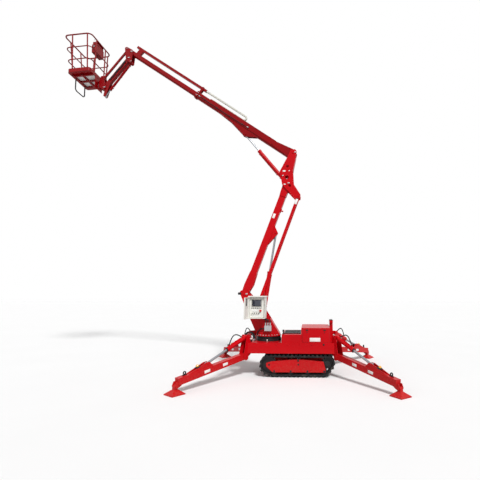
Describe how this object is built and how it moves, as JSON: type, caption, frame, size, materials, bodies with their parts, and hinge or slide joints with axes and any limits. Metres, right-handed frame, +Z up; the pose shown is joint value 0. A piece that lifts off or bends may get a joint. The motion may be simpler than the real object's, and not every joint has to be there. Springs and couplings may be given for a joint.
{
  "type": "articulating boom lift on rubber tracks",
  "caption": "Tracked work platform with hinged outriggers, slewing turret, knuckle boom, telescopic upper boom, jib and a railed basket, standing with its booms raised.",
  "frame": {"origin": "on the ground under the middle of the whole outline", "axes": "+Z up, +X from the basket towards the boom rest end of the chassis, +Y across"},
  "size_m": [7.9315, 3.8088, 8.2223],
  "materials": {
    "red_paint": "glossy red paint",
    "track_rubber": "moulded rubber",
    "black_metal": "black paint",
    "rod_chrome": "polished chrome",
    "cream_paint": "satin cream paint",
    "engine_metal": "cast metal",
    "fitting_steel": "zinc plated",
    "chain_plastic": "grey plastic",
    "panel_plastic": "panel plastic",
    "console_paint": "red paint with black panel"
  },
  "bodies": {
    "chassis": {"chassis_frame": "red_paint", "track_left": "track_rubber", "track_right": "track_rubber", "track_frame_left": "red_paint", "track_frame_right": "red_paint", "running_gear": "black_metal", "engine_hood": "red_paint", "hood_grille": "black_metal", "engine_block": "engine_metal", "engine_top": "black_metal", "boom_rest": "red_paint", "slew_base": "black_metal"},
    "turret": {"turret_tower": "red_paint", "control_cabinet": "cream_paint", "control_panel": "panel_plastic", "valve_block": "fitting_steel"},
    "cabinet_door": {"cabinet_door": "cream_paint"},
    "lower_boom": {"lower_boom": "red_paint"},
    "parallel_link": {"parallel_link": "red_paint"},
    "lift_barrel": {"lift_barrel": "red_paint"},
    "lift_rod": {"lift_rod": "rod_chrome"},
    "knuckle": {"knuckle": "red_paint"},
    "upper_barrel": {"upper_barrel": "red_paint"},
    "upper_rod": {"upper_rod": "rod_chrome"},
    "upper_boom": {"upper_boom": "red_paint"},
    "cable_chain": {"cable_chain": "chain_plastic"},
    "inner_boom": {"inner_boom": "red_paint", "guide_bar": "red_paint"},
    "jib_head": {"jib_head": "red_paint"},
    "jib_arm": {"jib_arm": "red_paint"},
    "jib_link": {"jib_link": "red_paint"},
    "jib_barrel": {"jib_barrel": "red_paint"},
    "jib_rod": {"jib_rod": "rod_chrome"},
    "basket_mount": {"basket_mount": "red_paint"},
    "basket": {"basket_floor": "red_paint", "basket_rails": "red_paint", "basket_console": "console_paint", "basket_step": "black_metal"},
    "outrigger_fl": {"outrigger_fl": "red_paint"},
    "leg_barrel_fl": {"leg_barrel_fl": "red_paint"},
    "leg_rod_fl": {"leg_rod_fl": "rod_chrome"},
    "pad_fl": {"pad_fl": "red_paint"},
    "outrigger_fr": {"outrigger_fr": "red_paint"},
    "leg_barrel_fr": {"leg_barrel_fr": "red_paint"},
    "leg_rod_fr": {"leg_rod_fr": "rod_chrome"},
    "pad_fr": {"pad_fr": "red_paint"},
    "outrigger_rl": {"outrigger_rl": "red_paint"},
    "leg_barrel_rl": {"leg_barrel_rl": "red_paint"},
    "leg_rod_rl": {"leg_rod_rl": "rod_chrome"},
    "pad_rl": {"pad_rl": "red_paint"},
    "outrigger_rr": {"outrigger_rr": "red_paint"},
    "leg_barrel_rr": {"leg_barrel_rr": "red_paint"},
    "leg_rod_rr": {"leg_rod_rr": "rod_chrome"},
    "pad_rr": {"pad_rr": "red_paint"}
  },
  "joints": [
    {"name": "slew", "type": "hinge", "parent": "chassis", "child": "turret", "pos_m": [1.4184, 0, 0.7], "axis": [0, 0, 1], "range_deg": [0, 355]},
    {"name": "cabinet_door", "type": "hinge", "parent": "turret", "child": "cabinet_door", "pos_m": [1.0344, -0.468, 1.34], "axis": [0, 0, 1], "range_deg": [-15, 95]},
    {"name": "lower_boom", "type": "hinge", "parent": "turret", "child": "lower_boom", "pos_m": [0.8724, 0, 1.626], "axis": [0, -1, 0], "range_deg": [-77, 5]},
    {"name": "parallel_link", "type": "hinge", "parent": "turret", "child": "parallel_link", "pos_m": [1.1524, 0, 1.316], "axis": [0, -1, 0], "range_deg": [-77.01, 5.01]},
    {"name": "lift_barrel", "type": "hinge", "parent": "turret", "child": "lift_barrel", "pos_m": [1.2834, 0, 1.24], "axis": [0, -1, 0], "range_deg": [-78.17, 5.08]},
    {"name": "lift_rod", "type": "slide", "parent": "lift_barrel", "child": "lift_rod", "axis": [0.1462, 0, 0.9893], "range_m": [-0.69974, 0.04553]},
    {"name": "knuckle", "type": "hinge", "parent": "lower_boom", "child": "knuckle", "pos_m": [1.78416, 0, 4.18651], "axis": [0, -1, 0], "range_deg": [-5.01, 77.01]},
    {"name": "upper_boom", "type": "hinge", "parent": "knuckle", "child": "upper_boom", "pos_m": [1.94116, 0, 4.96401], "axis": [0, 1, 0], "range_deg": [-34, 25]},
    {"name": "upper_barrel", "type": "hinge", "parent": "knuckle", "child": "upper_barrel", "pos_m": [1.65616, 0, 4.37251], "axis": [0, 1, 0], "range_deg": [-28.23, 20.76]},
    {"name": "upper_rod", "type": "slide", "parent": "upper_barrel", "child": "upper_rod", "axis": [-0.6351, 0, 0.7725], "range_m": [-0.3605, 0.2651]},
    {"name": "telescope", "type": "slide", "parent": "upper_boom", "child": "inner_boom", "axis": [-0.8192, 0, 0.5736], "range_m": [-1.9, 0]},
    {"name": "cable_chain", "type": "slide", "parent": "upper_boom", "child": "cable_chain", "axis": [-0.8192, 0, 0.5736], "range_m": [-0.96, 0.01]},
    {"name": "jib_head", "type": "hinge", "parent": "inner_boom", "child": "jib_head", "pos_m": [-2.38709, 0, 7.89214], "axis": [0, 1, 0], "range_deg": [-25.01, 34.01]},
    {"name": "jib", "type": "hinge", "parent": "jib_head", "child": "jib_arm", "pos_m": [-2.44209, 0, 7.70314], "axis": [0, 1, 0], "range_deg": [-15, 75]},
    {"name": "jib_link", "type": "hinge", "parent": "jib_head", "child": "jib_link", "pos_m": [-2.50809, 0, 7.98714], "axis": [0, 1, 0], "range_deg": [-15.01, 75.01]},
    {"name": "jib_barrel", "type": "hinge", "parent": "jib_head", "child": "jib_barrel", "pos_m": [-2.37309, 0, 7.59614], "axis": [0, 1, 0], "range_deg": [-14.86, 74.26]},
    {"name": "jib_rod", "type": "slide", "parent": "jib_barrel", "child": "jib_rod", "axis": [-0.5077, 0, -0.8615], "range_m": [-0.03063, 0.15273]},
    {"name": "basket_mount", "type": "hinge", "parent": "jib_arm", "child": "basket_mount", "pos_m": [-2.99464, 0, 6.84576], "axis": [0, 1, 0], "range_deg": [-75.01, 15.01]},
    {"name": "basket_turn", "type": "hinge", "parent": "basket_mount", "child": "basket", "pos_m": [-3.10413, 0, 6.83522], "axis": [-0.0958, 0, 0.9954], "range_deg": [-45, 45]},
    {"name": "outrigger_fl", "type": "hinge", "parent": "chassis", "child": "outrigger_fl", "pos_m": [2.8914, 0.47, 0.396], "axis": [-0.8137, 0.5812, 0], "range_deg": [-65, 6]},
    {"name": "leg_barrel_fl", "type": "hinge", "parent": "chassis", "child": "leg_barrel_fl", "pos_m": [2.86815, 0.43745, 0.76], "axis": [-0.8137, 0.5812, 0], "range_deg": [-66.31, 6.13]},
    {"name": "leg_rod_fl", "type": "slide", "parent": "leg_barrel_fl", "child": "leg_rod_fl", "axis": [0.5427, 0.7598, -0.3581], "range_m": [-0.3901, 0.0361]},
    {"name": "pad_fl", "type": "hinge", "parent": "outrigger_fl", "child": "pad_fl", "pos_m": [3.7914, 1.73, 0.12], "axis": [-0.8137, 0.5812, 0], "range_deg": [-20, 20]},
    {"name": "outrigger_fr", "type": "hinge", "parent": "chassis", "child": "outrigger_fr", "pos_m": [2.8914, -0.47, 0.396], "axis": [0.8137, 0.5812, 0], "range_deg": [-65, 6]},
    {"name": "leg_barrel_fr", "type": "hinge", "parent": "chassis", "child": "leg_barrel_fr", "pos_m": [2.86815, -0.43745, 0.76], "axis": [0.8137, 0.5812, 0], "range_deg": [-66.31, 6.13]},
    {"name": "leg_rod_fr", "type": "slide", "parent": "leg_barrel_fr", "child": "leg_rod_fr", "axis": [0.5427, -0.7598, -0.3581], "range_m": [-0.3901, 0.0361]},
    {"name": "pad_fr", "type": "hinge", "parent": "outrigger_fr", "child": "pad_fr", "pos_m": [3.7914, -1.73, 0.12], "axis": [0.8137, 0.5812, 0], "range_deg": [-20, 20]},
    {"name": "outrigger_rl", "type": "hinge", "parent": "chassis", "child": "outrigger_rl", "pos_m": [0.9714, 0.47, 0.396], "axis": [-0.8137, -0.5812, 0], "range_deg": [-65, 6]},
    {"name": "leg_barrel_rl", "type": "hinge", "parent": "chassis", "child": "leg_barrel_rl", "pos_m": [0.99465, 0.43745, 0.76], "axis": [-0.8137, -0.5812, 0], "range_deg": [-66.31, 6.13]},
    {"name": "leg_rod_rl", "type": "slide", "parent": "leg_barrel_rl", "child": "leg_rod_rl", "axis": [-0.5427, 0.7598, -0.3581], "range_m": [-0.3901, 0.0361]},
    {"name": "pad_rl", "type": "hinge", "parent": "outrigger_rl", "child": "pad_rl", "pos_m": [0.0714, 1.73, 0.12], "axis": [-0.8137, -0.5812, 0], "range_deg": [-20, 20]},
    {"name": "outrigger_rr", "type": "hinge", "parent": "chassis", "child": "outrigger_rr", "pos_m": [0.9714, -0.47, 0.396], "axis": [0.8137, -0.5812, 0], "range_deg": [-65, 6]},
    {"name": "leg_barrel_rr", "type": "hinge", "parent": "chassis", "child": "leg_barrel_rr", "pos_m": [0.99465, -0.43745, 0.76], "axis": [0.8137, -0.5812, 0], "range_deg": [-66.31, 6.13]},
    {"name": "leg_rod_rr", "type": "slide", "parent": "leg_barrel_rr", "child": "leg_rod_rr", "axis": [-0.5427, -0.7598, -0.3581], "range_m": [-0.3901, 0.0361]},
    {"name": "pad_rr", "type": "hinge", "parent": "outrigger_rr", "child": "pad_rr", "pos_m": [0.0714, -1.73, 0.12], "axis": [0.8137, -0.5812, 0], "range_deg": [-20, 20]}
  ],
  "couplings": [
    {"joint": "parallel_link", "follows": "lower_boom", "ratio": 1},
    {"joint": "lift_barrel", "follows": "lower_boom", "ratio": 1.015},
    {"joint": "lift_rod", "follows": "lower_boom", "m_per_rad": 0.5206},
    {"joint": "knuckle", "follows": "lower_boom", "ratio": -1},
    {"joint": "upper_barrel", "follows": "upper_boom", "ratio": 0.83},
    {"joint": "upper_rod", "follows": "upper_boom", "m_per_rad": 0.60733},
    {"joint": "jib_head", "follows": "upper_boom", "ratio": -1},
    {"joint": "cable_chain", "follows": "telescope", "ratio": 0.5},
    {"joint": "jib_link", "follows": "jib", "ratio": 1},
    {"joint": "jib_barrel", "follows": "jib", "ratio": 0.99},
    {"joint": "jib_rod", "follows": "jib", "m_per_rad": 0.1166},
    {"joint": "basket_mount", "follows": "jib", "ratio": -1},
    {"joint": "leg_barrel_fl", "follows": "outrigger_fl", "ratio": 1.02},
    {"joint": "leg_rod_fl", "follows": "outrigger_fl", "m_per_rad": 0.34377},
    {"joint": "leg_barrel_fr", "follows": "outrigger_fr", "ratio": 1.02},
    {"joint": "leg_rod_fr", "follows": "outrigger_fr", "m_per_rad": 0.34377},
    {"joint": "leg_barrel_rl", "follows": "outrigger_rl", "ratio": 1.02},
    {"joint": "leg_rod_rl", "follows": "outrigger_rl", "m_per_rad": 0.34377},
    {"joint": "leg_barrel_rr", "follows": "outrigger_rr", "ratio": 1.02},
    {"joint": "leg_rod_rr", "follows": "outrigger_rr", "m_per_rad": 0.34377}
  ]
}
